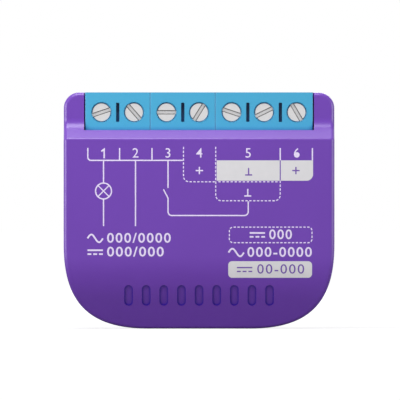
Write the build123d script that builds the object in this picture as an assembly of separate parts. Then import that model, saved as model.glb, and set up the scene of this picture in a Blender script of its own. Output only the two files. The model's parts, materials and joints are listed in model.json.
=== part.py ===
from build123d import *
import os
from math import cos, hypot, radians, sin, sqrt, tan

# A smart relay module that goes behind a wall switch. X runs to the right, Z up and Y to the back.
# The front face looks towards -Y. The module stands on its bottom edge, with the origin at the
# middle of its footprint. All lengths are in millimetres and all angles in degrees.

# Terminal row, on the usual pitch of screw terminals for mains
way_pitch = 5.08
ways_in_housing = (2, 2, 3)
largest_wire = 2.4

# Terminal screw
head_sink = 0.3
head_diameter = 3.0
head_height = 1.4
shank_diameter = 2.5
shank_length = 3.3
head_edge = 0.12
driver_slot_width = 0.66
driver_slot_depth = 0.75
slot_angles = (18.6, -49.0, 0.0, 58.0, -18.4, 25.9, -59.6)

# Rising cage and contact bar
cage_front_wall = 1.0
cage_side_wall = 0.6
cage_window_width = 2.7
cage_window_depth = 3.3
cage_jaw = 0.8
cage_height = 3.1
bar_thickness = 0.8
bar_width = 2.4
bar_above_block_floor = 1.0
tail_width = 1.0
tail_past_board = 1.2

# Clearances: a running fit is the gap all round, a seat gap is between faces that nearly touch
running_gap = 0.05
head_gap = 0.12
cage_gap = 0.09
seat_gap = 0.1
ear_gap = 0.17
lip_gap = 0.05
board_gap = 0.3
overrun = 1.0

# Terminal housing
block_height = 5.9
block_rear_wall = 0.45
block_top_wall = 1.47
block_floor = 2.6
block_step_depth = 1.4
row_slot_width = 0.52
row_slot_height = 3.0
row_slot_radius = 0.12
row_slot_depth = 1.4
block_edge_radius = 0.15
entry_lead = 0.35
parts_below_block = 1.29

# Board, and the space behind it
board_thickness = 1.0
space_behind_board = 1.5

# Housing seen from the front
ear_width = 3.185
bottom_corner_reach = 13.1
bottom_corner_handle_share = 0.695
top_corner_radius = 2.45

# Housing walls and the shape of its front
side_wall = 1.4
front_wall = 1.3
cover_thickness = 1.5
edge_radius = 0.6
recess_step = 2.4
slope_foot_below_sill = 1.35
slope_foot_radius = 0.5
slope_top_above_sill = 0.8
slope_top_radius = 2.4
front_tilt = 20.0
front_bend_z = 7.7
front_bend_radius = 19.0

# Row of grip grooves low on the front
grip_count = 9
grip_pitch = 2.75
grip_width = 1.35
grip_length = 3.2
grip_depth = 0.22
grip_radius_share = 0.49
grip_middle_z = 5.2

# Rear cover, with a shallow field for a label
cover_edge = 0.5
field_width = 26.0
field_height = 13.0
field_radius = 1.2
field_depth = 0.15
field_middle_z = 21.5
lip_thickness = 0.9
lip_depth = 1.2
hook_length = 5.0
hook_height = 0.4
hook_thickness = 0.4
hook_from_seat = 0.5
post_diameter = 2.0
post_from_side = 3.6
post_low_z = 10.0
post_below_sill = 3.0
rib_thickness = 1.2
rib_reach = 1.3
side_rib_z = 9.6
ear_rib_above_sill = 0.2
bottom_rib_x = 2.6

# Relay
relay_above_radio = 1.06
relay_wall = 0.6
relay_front_gap = 0.4
relay_side_gap = 0.4
relay_base_thickness = 0.8
relay_corner_radius = 0.5
pin_past_board = 0.9
coil_pin_diameter = 0.6

# Relay coil and its iron
bobbin_from_wall = 0.3
bobbin_width = 8.0
bobbin_length = 10.0
bobbin_flange = 0.8
bobbin_tube_wall = 0.5
winding_diameter = 7.2
core_diameter = 3.0
pole_diameter = 5.4
pole_thickness = 0.6
iron_thickness = 1.0
iron_width = 5.0
iron_from_wall = 0.3
yoke_from_bobbin = 0.6

# Relay armature, pusher card and contacts
armature_angle = 6.0
armature_leg_gap = 0.8
armature_over_pole = 0.4
armature_room = 1.5
air_gap_left = 0.02
card_below_hinge = 6.0
card_thickness = 1.0
card_overlap = 2.6
card_tip_width = 1.2
card_from_front = 0.8
leg_past_card = 0.3
blade_thickness = 0.3
blade_width = 4.0
blade_past_card = 0.7
contact_diameter = 2.4
contact_height = 0.5
contact_dome_radius = 2.5
contact_above_base = 5.8
contact_gap_left = 0.02
fixed_plate_thickness = 0.4
fixed_plate_past_contact = 1.6
fixed_plate_from_wall = 1.4
terminal_above_base = 1.0
terminal_thickness = 0.35
contact_pin_width = 1.4

# Transformer
transformer_from_choke = 1.07
transformer_from_relay = 1.0
transformer_above_bulk = 4.0
core_span = 10.2
core_depth = 4.6
core_outer_leg = 1.5
core_middle_leg = 2.6
core_yoke = 1.5
transformer_rise = 8.6
transformer_flange = 0.6
transformer_tube_wall = 0.4
tape_inset = 0.3
winding_corner_radius = 0.8

# Round parts of the power supply
bulk_diameter = 8.0
bulk_length = 12.0
bulk_from_side = 3.0
bulk_above_edge = 4.2
bulk_lead_spacing = 3.5
bulk_lead_reach = 1.0
output_diameter = 5.0
output_length = 7.5
output_from_radio = 1.0
output_above_edge = 1.2
output_lead_spacing = 2.0
choke_diameter = 5.0
choke_length = 7.0
choke_from_side = 0.4
choke_above_varistor = 0.6
choke_lead_spacing = 2.5
varistor_diameter = 6.6
varistor_thickness = 3.0
varistor_edge = 0.75
varistor_from_side = 0.6
varistor_above_bulk = 2.0
varistor_lead_spacing = 3.6
varistor_stand_off = 0.5
resistor_diameter = 2.6
resistor_length = 7.0
resistor_edge = 0.5
resistor_from_varistor = 0.1
resistor_above_bulk = 0.4
resistor_stand_off = 0.4
resistor_lead_spacing = 2.4
resistor_lead_rise = 0.8
lead_diameter = 0.6
can_edge = 0.4
can_groove_width = 0.7
can_groove_depth = 0.35
can_groove_from_end = 1.4

# Flat parts on the board: their body sizes as width, height and thickness, and their rows of leads
bridge_size = (2.6, 3.6, 1.5)
bridge_lead_count = 2
bridge_from_relay = 0.6
bridge_below_transformer = 1.1
converter_size = (3.9, 3.0, 1.5)
converter_lead_count = 4
converter_from_bridge = 0.35
converter_below_transformer = 0.4
optocoupler_size = (2.6, 2.2, 1.9)
optocoupler_lead_count = 2
optocoupler_from_side = 4.1
optocoupler_above_edge = 1.8
regulator_size = (2.6, 1.6, 1.2)
regulator_lead_count = 3
regulator_from_radio = 0.4
regulator_below_relay = 0.85
lead_reach = 0.8
lead_width = 0.4
lead_rise_share = 0.4
body_taper = 0.12

# Radio module
radio_from_side = 3.5
radio_above_edge = 1.9
radio_width = 13.0
radio_height = 8.0
radio_board_thickness = 0.8
can_width = 7.6
can_height = 7.0
can_rise = 1.8
can_wall = 0.2
can_from_edge = 0.4
can_corner_radius = 0.4
can_room = 0.2
chip_side = 5.0
chip_rise = 0.85
crystal_width = 1.2
crystal_height = 3.2
crystal_rise = 0.7
antenna_leg_count = 4
antenna_trace_share = 0.5
antenna_rise = 0.1
antenna_margin = 0.5

# Chip resistors and capacitors: one body size, set out in columns beside the larger parts
chip_width = 1.6
chip_height = 0.8
chip_rise_resistor = 0.45
chip_rise_capacitor = 0.8
chip_gap_x = 0.8
chip_gap_z = 0.6
chips_above_edge = 0.9
chips_from_optocoupler = 0.9
low_chip_row_count = 3
low_chip_column_count = 3
low_resistor_count = 5
side_chip_row_count = 3
side_resistor_count = 2

# Button and status lamp behind the rear cover
button_from_side = 10.4
button_above_edge = 6.8
button_diameter = 3.8
button_flange = 0.7
button_flange_thickness = 0.4
button_sink = 0.3
button_travel = 0.2
button_dish_radius = 9.0
button_dish_depth = 0.12
switch_side = 4.5
switch_rise = 0.65
plunger_diameter = 2.0
plunger_in_switch = 0.25
lamp_from_button = 6.0
lamp_size = (1.6, 0.8)
lamp_rise = 0.6
pipe_diameter = 2.0
pipe_flange = 0.5
pipe_flange_thickness = 0.3
pipe_sink = 0.15

# Sizes that follow from the ones above
row_length = way_pitch * sum(ways_in_housing)
opening_half = row_length / 2 + ear_gap
body_width = 2 * (opening_half + ear_width)
cage_depth = cage_front_wall + cage_window_depth + cage_jaw
block_depth = (head_sink + head_height + shank_length + running_gap + bar_thickness + largest_wire
               + cage_jaw + seat_gap + block_rear_wall)
body_depth = recess_step + block_depth + board_thickness + space_behind_board + cover_thickness

# Planes across the depth, from front to back
front_y = -body_depth / 2
recess_y = front_y + recess_step
head_top_y = recess_y + head_sink
head_under_y = head_top_y + head_height
screw_tip_y = head_under_y + shank_length
bar_front_y = screw_tip_y + running_gap
bar_back_y = bar_front_y + bar_thickness
wire_y = bar_back_y + largest_wire / 2
jaw_y = bar_back_y + largest_wire
cage_back_y = jaw_y + cage_jaw
cage_front_y = cage_back_y - cage_depth
board_front_y = recess_y + block_depth
board_back_y = board_front_y + board_thickness
seat_y = board_back_y + space_behind_board
back_y = seat_y + cover_thickness

# The board's edges
board_inset = side_wall + board_gap
board_half = body_width / 2 - board_inset

# Radio module in the lower right corner of the board, with the button and the lamp behind it
radio_right_x = board_half - radio_from_side
radio_left_x = radio_right_x - radio_width
radio_low_z = board_inset + radio_above_edge
radio_high_z = radio_low_z + radio_height
radio_z = (radio_low_z + radio_high_z) / 2
radio_face_y = board_front_y - radio_board_thickness
can_right_x = radio_right_x - can_from_edge
can_left_x = can_right_x - can_width
can_low_z = radio_z - can_height / 2
can_high_z = radio_z + can_height / 2
button_x = board_half - button_from_side
button_z = board_inset + button_above_edge
lamp_x = button_x - lamp_from_button

# Relay above the radio module, as wide as the transformer leaves it
relay_height = (2 * relay_wall + iron_from_wall + bobbin_length + pole_thickness + 2 * iron_thickness
                + armature_room)
relay_right = board_half - relay_side_gap
relay_low = radio_high_z + relay_above_radio
relay_high = relay_low + relay_height

# Power supply, from the lower left corner upwards
bulk_left_x = bulk_from_side - board_half
bulk_z = board_inset + bulk_above_edge + bulk_diameter / 2
bulk_high_z = bulk_z + bulk_diameter / 2
output_x = radio_left_x - output_from_radio - output_diameter / 2
output_z = board_inset + output_above_edge + output_diameter / 2
varistor_x = varistor_from_side + varistor_thickness / 2 - board_half
varistor_z = bulk_high_z + varistor_above_bulk + varistor_diameter / 2
resistor_x = varistor_x + varistor_thickness / 2 + resistor_from_varistor + resistor_diameter / 2
resistor_z = bulk_high_z + resistor_above_bulk + resistor_diameter / 2
choke_x = choke_from_side + choke_diameter / 2 - board_half
choke_z = varistor_z + varistor_diameter / 2 + choke_above_varistor + choke_diameter / 2
transformer_x = choke_x + choke_diameter / 2 + transformer_from_choke + core_span / 2
relay_left = transformer_x + core_span / 2 + transformer_from_relay
transformer_low_z = bulk_high_z + transformer_above_bulk
transformer_z = transformer_low_z + core_span / 2

# Flat parts between them, as the X and Z of their middles
bridge_x = relay_left - bridge_from_relay - lead_reach - bridge_size[0] / 2
bridge_place = (bridge_x, transformer_low_z - bridge_below_transformer - bridge_size[1] / 2)
converter_right_x = bridge_x - bridge_size[0] / 2 - lead_reach - converter_from_bridge
converter_place = (converter_right_x - converter_size[0] / 2,
                   transformer_low_z - converter_below_transformer - converter_size[1] / 2)
optocoupler_x = optocoupler_from_side + lead_reach + optocoupler_size[0] / 2 - board_half
optocoupler_place = (optocoupler_x, board_inset + optocoupler_above_edge + optocoupler_size[1] / 2)
regulator_x = radio_left_x - regulator_from_radio - regulator_size[0] / 2
regulator_place = (regulator_x, relay_low - regulator_below_relay - lead_reach - regulator_size[1] / 2)

# Heights of the terminal row, above the tallest of the parts
parts_high_z = max(relay_high, transformer_low_z + core_span, choke_z + choke_diameter / 2)
block_low_z = parts_high_z + parts_below_block
bar_low_z = block_low_z + bar_above_block_floor
cavity_low_z = block_low_z + block_floor
cage_low_z = cavity_low_z + cage_gap
screw_z = cage_low_z + cage_height / 2
cage_high_z = cage_low_z + cage_height
cavity_high_z = cage_high_z + cage_gap
body_height = cavity_high_z + block_top_wall
sill_z = body_height - block_height

# Heights of the front's slope, the ribs and the cover's posts and hooks
slope_foot_z = sill_z - slope_foot_below_sill
slope_top_z = sill_z + slope_top_above_sill
ear_rib_z = sill_z + ear_rib_above_sill
post_high_z = sill_z - post_below_sill
hook_middle_z = (post_low_z + post_high_z) / 2


def span_box(x_low, x_high, y_low, y_high, z_low, z_high):
    """A box from its lowest and highest X, Y and Z."""
    box = Box(x_high - x_low, y_high - y_low, z_high - z_low, align=(Align.MIN, Align.MIN, Align.MIN))
    return Pos(x_low, y_low, z_low) * box


def rod_along_y(x, z, y_low, y_high, diameter):
    """A round rod that runs from front to back."""
    rod = Cylinder(diameter / 2, y_high - y_low, align=(Align.CENTER, Align.CENTER, Align.MIN))
    return Pos(x, y_low, z) * Rot(-90, 0, 0) * rod


def rod_along_x(y, z, x_low, x_high, diameter):
    """A round rod that runs from left to right."""
    rod = Cylinder(diameter / 2, x_high - x_low, align=(Align.CENTER, Align.CENTER, Align.MIN))
    return Pos(x_low, y, z) * Rot(0, 90, 0) * rod


def rod_along_z(x, y, z_low, z_high, diameter):
    """A round rod that runs upwards."""
    rod = Cylinder(diameter / 2, z_high - z_low, align=(Align.CENTER, Align.CENTER, Align.MIN))
    return Pos(x, y, z_low) * rod


def drawn_along_y(face, y_low, y_high):
    """A face drawn in X and Z, run out from front to back."""
    return Pos(0, y_low, 0) * extrude(Plane.XZ * face, amount=y_high - y_low, dir=(0, 1, 0))


def drawn_along_x(face, x_low, x_high):
    """A face drawn in Y and Z, run out from left to right."""
    return Pos(x_low, 0, 0) * extrude(Plane.YZ * face, amount=x_high - x_low, dir=(1, 0, 0))


def way_places():
    """The X of each screw, from left to right."""
    count = sum(ways_in_housing)
    return [way_pitch * (index - (count - 1) / 2) for index in range(count)]


def housing_outline(inset):
    """The housing seen from the front, drawn in by the inset all round."""
    half = body_width / 2 - inset
    top = body_height - inset
    reach = bottom_corner_reach - inset
    near = reach * (1 - bottom_corner_handle_share)
    radius = top_corner_radius - inset
    edges = [
        Line((reach - half, inset), (half - reach, inset)),
        Bezier((half - reach, inset), (half - near, inset), (half, inset + near), (half, inset + reach)),
        Line((half, inset + reach), (half, top - radius)),
        RadiusArc((half, top - radius), (half - radius, top), -radius),
        Line((half - radius, top), (radius - half, top)),
        RadiusArc((radius - half, top), (-half, top - radius), -radius),
        Line((-half, top - radius), (-half, inset + reach)),
        Bezier((-half, inset + reach), (-half, inset + near), (near - half, inset), (reach - half, inset)),
    ]
    return Face(Wire(edges))


def side_profile(inset, back):
    """The housing seen from the side as Y and Z, its front drawn in by the inset."""
    rise = slope_top_z - slope_foot_z
    length = hypot(recess_step, rise)
    half_turn = recess_step / (length + rise)
    bend_shift = inset * tan(radians(front_tilt / 2))
    bend_z = front_bend_z + bend_shift
    face_y = front_y + inset
    low_y = face_y + (bend_z + overrun) * tan(radians(front_tilt))
    foot_z = slope_foot_z - inset * half_turn
    top_z = slope_top_z - inset * half_turn
    high_z = body_height + overrun
    points = [
        (back, -overrun), (low_y, -overrun), (face_y, bend_z), (face_y, foot_z),
        (recess_y + inset, top_z), (recess_y + inset, high_z), (back, high_z)]
    foot_radius = max(slope_foot_radius - inset, 0)
    radii = [0, 0, front_bend_radius - inset, foot_radius, slope_top_radius + inset, 0, 0]
    return Face(Wire(FilletPolyline(points, radius=radii, close=True).edges()))


def shell_solid(inset, back):
    """The housing's rounded outline cut to its side profile, both drawn in by the inset."""
    outline = drawn_along_y(housing_outline(inset), front_y - overrun, back)
    reach = body_width / 2 + overrun
    return outline & drawn_along_x(side_profile(inset, back + overrun), -reach, reach)


def cover_places():
    """The X and Z of the posts that hold the board against the shell's ribs."""
    post_x = body_width / 2 - post_from_side
    return [(side * post_x, z) for side in (-1, 1) for z in (post_low_z, post_high_z)]


def make_front_shell():
    """The moulded shell: front, sides and the ribs that carry the board."""
    outside = shell_solid(0, seat_y)
    rim = [edge for edge in outside.edges() if edge.center().Y < seat_y - edge_radius]
    rim = [edge for edge in rim if not is_across_front(edge)]
    outside = fillet(rim, edge_radius)
    side = body_width / 2 - side_wall
    inner = drawn_along_y(housing_outline(side_wall), front_y - overrun, seat_y + overrun)
    inner = inner & drawn_along_x(side_profile(front_wall, seat_y + overrun), -body_width, body_width)
    shell = outside - inner
    opening = span_box(-opening_half, opening_half, front_y - overrun, board_front_y + seat_gap,
                       sill_z, body_height + overrun)
    shell -= opening
    shell -= grip_grooves()
    for z in (side_rib_z, ear_rib_z):
        for low, high in ((-side, rib_reach - side), (side - rib_reach, side)):
            rib = span_box(low, high, front_y, board_front_y, z, z + rib_thickness)
            shell += rib & inner
    for x in (-bottom_rib_x, bottom_rib_x):
        rib = span_box(x - rib_thickness / 2, x + rib_thickness / 2, front_y, board_front_y,
                       side_wall, side_wall + rib_reach)
        shell += rib & inner
    for x_low, x_high, y_low, y_high in hook_places(lip_gap):
        shell -= span_box(x_low, x_high, y_low, y_high, hook_middle_z - hook_length / 2 - lip_gap,
                          hook_middle_z + hook_length / 2 + lip_gap)
    return shell


def grip_grooves():
    """Upright rounded grooves, sunk by their depth from the front's bent skin."""
    places = [grip_pitch * (index - (grip_count - 1) / 2) for index in range(grip_count)]
    groove = RectangleRounded(grip_width, grip_length, grip_width * grip_radius_share)
    grooves = [Pos(x, grip_middle_z) * groove for x in places]
    drawn = [drawn_along_y(face, front_y - overrun, seat_y) for face in grooves]
    return Part() + drawn - shell_solid(grip_depth, seat_y)


def is_across_front(edge):
    """Whether an edge runs from side to side over the front, between two faces of the profile."""
    return edge.geom_type == GeomType.LINE and abs(edge.tangent_at(0).X) > cos(radians(1)) and (
        edge.center().Z < body_height - edge_radius and edge.center().Z > edge_radius)


def hook_places(gap):
    """The X and Y spans of the cover's two hooks, grown by a gap into their grooves."""
    wall = body_width / 2 - side_wall
    y_high = seat_y - hook_from_seat + gap
    y_low = y_high - hook_thickness - 2 * gap
    inner = wall - lip_gap
    outer = inner + hook_height + gap
    return [(-outer, -inner, y_low, y_high), (inner, outer, y_low, y_high)]


def make_rear_cover():
    """The cover with its lip, two hooks, the posts on the board and the holes for button and lamp."""
    plate = drawn_along_y(housing_outline(0), seat_y, back_y)
    plate = chamfer(plate.faces().sort_by(Axis.Y)[-1].edges(), cover_edge)
    field = RectangleRounded(field_width, field_height, field_radius)
    plate -= drawn_along_y(Pos(0, field_middle_z) * field, back_y - field_depth, back_y + overrun)
    lip_y = seat_y - lip_depth
    lip = drawn_along_y(housing_outline(side_wall + lip_gap), lip_y, seat_y)
    lip -= drawn_along_y(housing_outline(side_wall + lip_gap + lip_thickness), lip_y - overrun,
                         seat_y + overrun)
    cover = plate + lip
    for x_low, x_high, y_low, y_high in hook_places(0):
        cover += span_box(x_low, x_high, y_low, y_high, hook_middle_z - hook_length / 2,
                          hook_middle_z + hook_length / 2)
    for x, z in cover_places():
        cover += rod_along_y(x, z, board_back_y, seat_y, post_diameter)
    cover -= rod_along_y(button_x, button_z, lip_y, back_y + overrun, button_diameter + 2 * seat_gap)
    cover -= rod_along_y(lamp_x, button_z, lip_y, back_y + overrun, pipe_diameter + 2 * running_gap)
    return cover


def make_terminal_housing(first, count):
    """One terminal housing: a bar of its ways with a screw hole, a cage room and a wire entry each."""
    places = way_places()[first:first + count]
    low = places[0] - way_pitch / 2
    high = places[-1] + way_pitch / 2
    step_y = recess_y + block_step_depth
    corners = [
        (recess_y, sill_z), (recess_y, body_height), (board_front_y, body_height),
        (board_front_y, block_low_z), (step_y, block_low_z), (step_y, sill_z)]
    body = drawn_along_x(make_face(Polyline(*corners, close=True)), low, high)
    upright = [edge for edge in body.edges().filter_by(Axis.Z) if edge.center().Y < recess_y + seat_gap]
    body = fillet(upright, block_edge_radius)
    for x in places:
        body -= rod_along_y(x, screw_z, recess_y - overrun, head_under_y, head_diameter + 2 * head_gap)
        half = cage_window_width / 2 + cage_side_wall + cage_gap
        body -= span_box(x - half, x + half, head_under_y, cage_back_y + seat_gap, cavity_low_z,
                         cavity_high_z)
        body -= rod_along_z(x, wire_y, screw_z, body_height + overrun, largest_wire)
        slot = bar_width / 2 + running_gap
        body -= span_box(x - slot, x + slot, bar_front_y - running_gap, bar_back_y + running_gap,
                         bar_low_z - running_gap, screw_z)
        body -= span_box(x - slot, x + slot, bar_front_y, board_front_y + overrun, bar_low_z - running_gap,
                         bar_low_z + bar_thickness + running_gap)
    for x in places[1:]:
        middle = x - way_pitch / 2
        slot = RectangleRounded(row_slot_width, row_slot_height, row_slot_radius)
        body -= drawn_along_y(Pos(middle, screw_z) * slot, recess_y - overrun, recess_y + row_slot_depth)
    rims = [edge for edge in body.faces().sort_by(Axis.Z)[-1].edges() if edge.is_closed]
    return chamfer(rims, entry_lead)


def make_terminal_screw(x, angle):
    """A slotted cheese-head screw whose tip bears on the contact bar."""
    head = rod_along_y(0, 0, head_top_y, head_under_y, head_diameter)
    head = chamfer(head.faces().sort_by(Axis.Y)[0].edges(), head_edge)
    slot = span_box(-head_diameter, head_diameter, head_top_y - overrun, head_top_y + driver_slot_depth,
                    -driver_slot_width / 2, driver_slot_width / 2)
    screw = head - slot + rod_along_y(0, 0, head_under_y, screw_tip_y, shank_diameter)
    return Pos(x, 0, screw_z) * Rot(0, -angle, 0) * screw


def make_clamp_cage(x):
    """The square cage that the screw draws forward: threaded wall, two sides and a jaw."""
    outer = cage_window_width / 2 + cage_side_wall
    cage = span_box(x - outer, x + outer, cage_front_y, cage_back_y, cage_low_z, cage_high_z)
    cage -= span_box(x - cage_window_width / 2, x + cage_window_width / 2, cage_front_y + cage_front_wall,
                     cage_back_y - cage_jaw, cage_low_z - overrun, cage_high_z + overrun)
    cage -= rod_along_y(x, screw_z, cage_front_y - overrun, jaw_y - running_gap,
                        shank_diameter + 2 * running_gap)
    return cage


def make_contact_bar(x):
    """The bar in the cage's window, its foot and the tail that is soldered in the board."""
    half = bar_width / 2
    bar = span_box(x - half, x + half, bar_front_y, bar_back_y, bar_low_z, cage_high_z)
    bar += span_box(x - half, x + half, bar_front_y, board_front_y, bar_low_z, bar_low_z + bar_thickness)
    bar += span_box(x - tail_width / 2, x + tail_width / 2, bar_front_y, board_back_y + tail_past_board,
                    bar_low_z, bar_low_z + bar_thickness)
    return bar


# Inside the relay: its coil and hinge from the left wall, its contacts from the right wall
relay_front_y = front_y + front_wall + relay_front_gap
base_front_y = board_front_y - relay_base_thickness
room_front_y = relay_front_y + relay_wall
bobbin_low_x = relay_left + relay_wall + bobbin_from_wall
coil_x = bobbin_low_x + bobbin_width / 2
bobbin_front_y = room_front_y + iron_from_wall
coil_y = (bobbin_front_y + base_front_y) / 2
yoke_low_z = relay_low + relay_wall + iron_from_wall
bobbin_low_z = yoke_low_z + iron_thickness
bobbin_high_z = bobbin_low_z + bobbin_length
pole_z = bobbin_high_z + pole_thickness
yoke_left_x = bobbin_low_x + bobbin_width + yoke_from_bobbin
hinge_x = yoke_left_x + iron_thickness
card_z = pole_z - card_below_hinge
leg_left_x = hinge_x + armature_leg_gap
leg_right_x = leg_left_x + iron_thickness
armature_low_y = coil_y - iron_width / 2
armature_high_y = coil_y + iron_width / 2
card_tip_y = room_front_y + card_from_front
blade_push_y = card_tip_y + card_tip_width / 2
blade_reach = base_front_y - blade_push_y
blade_angle = armature_angle * card_below_hinge / blade_reach
contact_y = base_front_y - contact_above_base
fixed_plate_x = relay_right - relay_wall - fixed_plate_from_wall - fixed_plate_thickness
fixed_face_x = fixed_plate_x - contact_height
dome_middle = blade_thickness / 2 + contact_height - contact_dome_radius
blade_hinge_x = fixed_face_x - (
    dome_middle * cos(radians(blade_angle)) + contact_above_base * sin(radians(blade_angle))
    + contact_dome_radius + contact_gap_left)
blade_left_x = blade_hinge_x - blade_thickness / 2


def leg_face_at_rest():
    """The X of the armature leg's right face at the card's height, with the armature swung open."""
    turn = radians(armature_angle)
    out = leg_right_x - hinge_x
    down = (card_below_hinge - out * sin(turn)) / cos(turn)
    return hinge_x + out * cos(turn) - down * sin(turn)


def make_relay_case():
    """The relay's moulded cap, open towards the board."""
    case = span_box(relay_left, relay_right, relay_front_y, board_front_y, relay_low, relay_high)
    case = fillet(case.edges().filter_by(Axis.Y), relay_corner_radius)
    case = fillet(case.faces().sort_by(Axis.Y)[0].edges(), relay_corner_radius / 2)
    return case - span_box(relay_left + relay_wall, relay_right - relay_wall, room_front_y,
                           board_front_y + overrun, relay_low + relay_wall, relay_high - relay_wall)


def relay_pin_places():
    """The X and Z of each pin under the relay: two coil pins, the common pin and the fixed pin."""
    flange_z = bobbin_low_z + bobbin_flange / 2
    coil = [(bobbin_low_x + coil_pin_diameter, flange_z),
            (bobbin_low_x + bobbin_width - coil_pin_diameter, flange_z)]
    common = (blade_left_x - running_gap - terminal_thickness / 2, card_z)
    fixed = (fixed_plate_x + fixed_plate_thickness / 2, card_z)
    return coil, common, fixed


def make_relay_base():
    """The plate that closes the relay towards the board, with a hole for each pin."""
    gap = relay_wall + running_gap
    base = span_box(relay_left + gap, relay_right - gap, base_front_y, board_front_y, relay_low + gap,
                    relay_high - gap)
    coil, common, fixed = relay_pin_places()
    for x, z in coil:
        base -= rod_along_y(x, z, base_front_y - overrun, board_front_y + overrun,
                            coil_pin_diameter + 2 * running_gap)
    for (x, z), thickness in ((common, terminal_thickness), (fixed, fixed_plate_thickness)):
        half_x = thickness / 2 + running_gap
        half_z = contact_pin_width / 2 + running_gap
        base -= span_box(x - half_x, x + half_x, base_front_y - overrun, board_front_y + overrun,
                         z - half_z, z + half_z)
    return base


def make_relay_bobbin():
    """The coil former: a tube with a flange at each end, standing on the base."""
    bobbin = rod_along_z(coil_x, coil_y, bobbin_low_z, bobbin_high_z,
                         core_diameter + 2 * (running_gap + bobbin_tube_wall))
    for z in (bobbin_low_z, bobbin_high_z - bobbin_flange):
        bobbin += span_box(bobbin_low_x, bobbin_low_x + bobbin_width, bobbin_front_y, base_front_y,
                           z, z + bobbin_flange)
    return bobbin - rod_along_z(coil_x, coil_y, bobbin_low_z - overrun, bobbin_high_z + overrun,
                                core_diameter + 2 * running_gap)


def make_relay_winding():
    """The copper between the bobbin's flanges."""
    low = bobbin_low_z + bobbin_flange
    high = bobbin_high_z - bobbin_flange
    winding = rod_along_z(coil_x, coil_y, low, high, winding_diameter)
    return winding - rod_along_z(coil_x, coil_y, low - overrun, high + overrun,
                                 core_diameter + 2 * (2 * running_gap + bobbin_tube_wall))


def make_relay_core():
    """The round core with its pole disc, staked into the yoke."""
    core = rod_along_z(coil_x, coil_y, yoke_low_z, bobbin_high_z, core_diameter)
    return core + rod_along_z(coil_x, coil_y, bobbin_high_z, pole_z, pole_diameter)


def make_relay_yoke():
    """The bent iron that leads the field from the core's foot up to the armature's hinge."""
    foot_left = coil_x - pole_diameter / 2
    profile = Polyline(
        (foot_left, yoke_low_z), (hinge_x, yoke_low_z), (hinge_x, pole_z), (yoke_left_x, pole_z),
        (yoke_left_x, bobbin_low_z), (foot_left, bobbin_low_z), close=True)
    yoke = drawn_along_y(make_face(profile), armature_low_y, armature_high_y)
    return yoke - rod_along_z(coil_x, coil_y, yoke_low_z - overrun, bobbin_low_z + overrun,
                              core_diameter + 2 * running_gap)


def make_relay_armature():
    """The bent armature, swung open about the yoke's edge, its leg reaching down to the card."""
    low_z = pole_z + air_gap_left
    left_x = coil_x - pole_diameter / 2 + armature_over_pole
    leg_end_z = card_z - card_thickness / 2 - leg_past_card
    profile = Polyline(
        (left_x, low_z), (leg_left_x, low_z), (leg_left_x, leg_end_z), (leg_right_x, leg_end_z),
        (leg_right_x, low_z + iron_thickness), (left_x, low_z + iron_thickness), close=True)
    armature = drawn_along_y(make_face(profile), armature_low_y, armature_high_y)
    pivot = Pos(hinge_x, 0, pole_z)
    return pivot * Rot(0, armature_angle, 0) * pivot.inverse() * armature


def make_relay_card():
    """The pusher card between the armature's leg and the contact blade, round where it pushes."""
    left = leg_face_at_rest() + running_gap
    right = blade_left_x - running_gap
    radius = card_thickness / 2
    tip_radius = card_tip_width / 2
    neck_x = (left + right) / 2
    card = span_box(left + radius, neck_x, card_tip_y, armature_low_y + card_overlap,
                    card_z - radius, card_z + radius)
    card += rod_along_y(left + radius, card_z, card_tip_y, armature_low_y + card_overlap, card_thickness)
    card += span_box(left + radius, right - tip_radius, card_tip_y, card_tip_y + card_tip_width,
                     card_z - radius, card_z + radius)
    card += rod_along_z(right - tip_radius, card_tip_y + tip_radius, card_z - radius, card_z + radius,
                        card_tip_width)
    return card


def make_domed_contact():
    """A round contact along X that stands up from zero and ends in a dome."""
    radius = contact_diameter / 2
    shoulder = contact_height - contact_dome_radius + sqrt(contact_dome_radius ** 2 - radius ** 2)
    edges = [
        Line((0, 0), (0, radius)), Line((0, radius), (shoulder, radius)),
        RadiusArc((shoulder, radius), (contact_height, 0), contact_dome_radius),
        Line((contact_height, 0), (0, 0))]
    return revolve(Face(Wire(edges)), Axis.X)


def make_relay_blade():
    """The moving contact blade: a leaf spring clamped at the base, with a domed contact."""
    half = blade_width / 2
    blade = span_box(blade_left_x, blade_left_x + blade_thickness, card_tip_y - blade_past_card / 2,
                     base_front_y, card_z - half, card_z + half)
    return blade + Pos(blade_left_x + blade_thickness, contact_y, card_z) * make_domed_contact()


def make_common_terminal():
    """The pin beside the blade's root that feeds it from the board."""
    x, z = relay_pin_places()[1]
    return span_box(x - terminal_thickness / 2, x + terminal_thickness / 2,
                    base_front_y - terminal_above_base, board_back_y + pin_past_board,
                    z - contact_pin_width / 2, z + contact_pin_width / 2)


def make_fixed_contact():
    """The fixed contact on its plate, with the pin that leads it through the board."""
    x, z = relay_pin_places()[2]
    low_x = x - fixed_plate_thickness / 2
    half = blade_width / 2
    plate = span_box(low_x, low_x + fixed_plate_thickness, contact_y - fixed_plate_past_contact,
                     base_front_y, z - half, z + half)
    plate += span_box(low_x, low_x + fixed_plate_thickness, base_front_y, board_back_y + pin_past_board,
                      z - contact_pin_width / 2, z + contact_pin_width / 2)
    turned = Pos(fixed_face_x, contact_y, z) * Rot(0, 90, 0) * Cylinder(
        contact_diameter / 2, contact_height, align=(Align.CENTER, Align.CENTER, Align.MIN))
    return plate + turned


def make_coil_pins():
    """The two pins that lead the coil through the board."""
    pins = [rod_along_y(x, z, base_front_y, board_back_y + pin_past_board, coil_pin_diameter)
            for x, z in relay_pin_places()[0]]
    return Compound(children=pins)


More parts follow.
